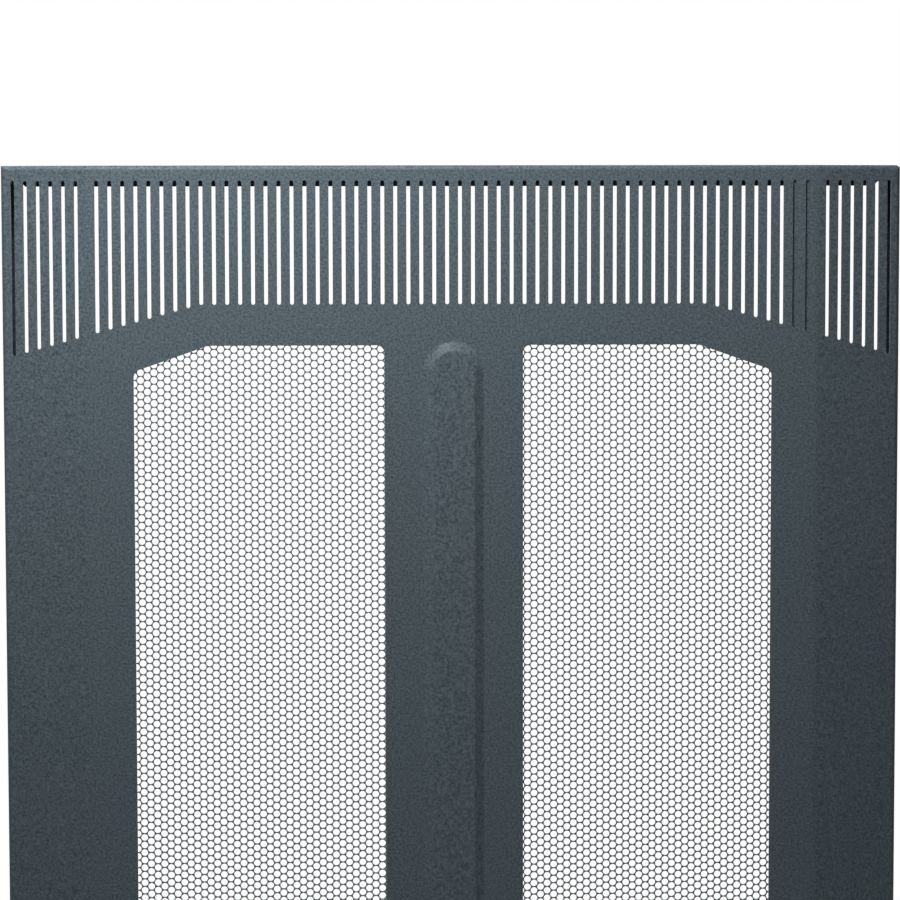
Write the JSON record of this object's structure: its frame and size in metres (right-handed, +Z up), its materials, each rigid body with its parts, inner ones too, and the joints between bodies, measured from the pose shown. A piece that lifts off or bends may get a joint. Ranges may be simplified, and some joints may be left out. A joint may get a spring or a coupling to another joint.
{
  "type": "perforated rack door",
  "caption": "Hinged steel front door for an equipment rack, with vent slots along the top, perforated windows on each side of a raised rib, a sprung hinge pin and a cam lock.",
  "frame": {"origin": "root of the sprung pin's nose, on the hinge axis, level with the lower bushing's bearing face", "axes": "+Z up the hinge axis, +X across the door to the latch side, +Y to the back, so the outer face looks to -Y"},
  "size_m": [0.5588, 0.0422, 0.9814],
  "materials": {
    "powder_coat": "fine-textured dark slate-grey powder coat",
    "zinc_plate": "bright zinc plate",
    "spring_steel": "drawn spring steel",
    "copper_plate": "copper-plated weld stud",
    "bright_chrome": "bright chrome plate",
    "nylon": "natural nylon",
    "vinyl": "dipped black vinyl",
    "rubber": "black rubber"
  },
  "bodies": {
    "door": {"door_skin": "powder_coat", "perforated_panel_left": "powder_coat", "perforated_panel_right": "powder_coat", "latch_side_stiffener": "powder_coat", "lower_hinge_bracket": "powder_coat", "lower_hinge_spring": "spring_steel", "lower_hinge_bushing": "nylon", "upper_hinge_bracket": "powder_coat", "upper_hinge_bushing": "nylon", "lock_body": "bright_chrome", "lock_nut": "zinc_plate", "door_bumpers": "rubber", "ground_stud": "copper_plate", "ground_washer": "zinc_plate", "ground_nut": "zinc_plate"},
    "hinge_pin": {"lower_hinge_pin": "zinc_plate", "pin_retaining_clip": "spring_steel", "pin_pull_cap": "vinyl"},
    "lock_barrel": {"lock_plug": "bright_chrome", "lock_cam": "zinc_plate", "cam_washer": "zinc_plate", "cam_screw": "zinc_plate"}
  },
  "joints": [
    {"name": "hinge_pin_slide", "type": "slide", "parent": "door", "child": "hinge_pin", "axis": [0, 0, 1], "range_m": [0, 0.01], "stiffness_N_per_m": 600, "springref_m": -0.01, "deforming": ["lower_hinge_spring"]},
    {"name": "lock_turn", "type": "hinge", "parent": "door", "child": "lock_barrel", "pos_m": [0.52157, -0.01954, 0.4871], "axis": [-0.165, 0.9863, 0], "range_deg": [0, 90]}
  ]
}
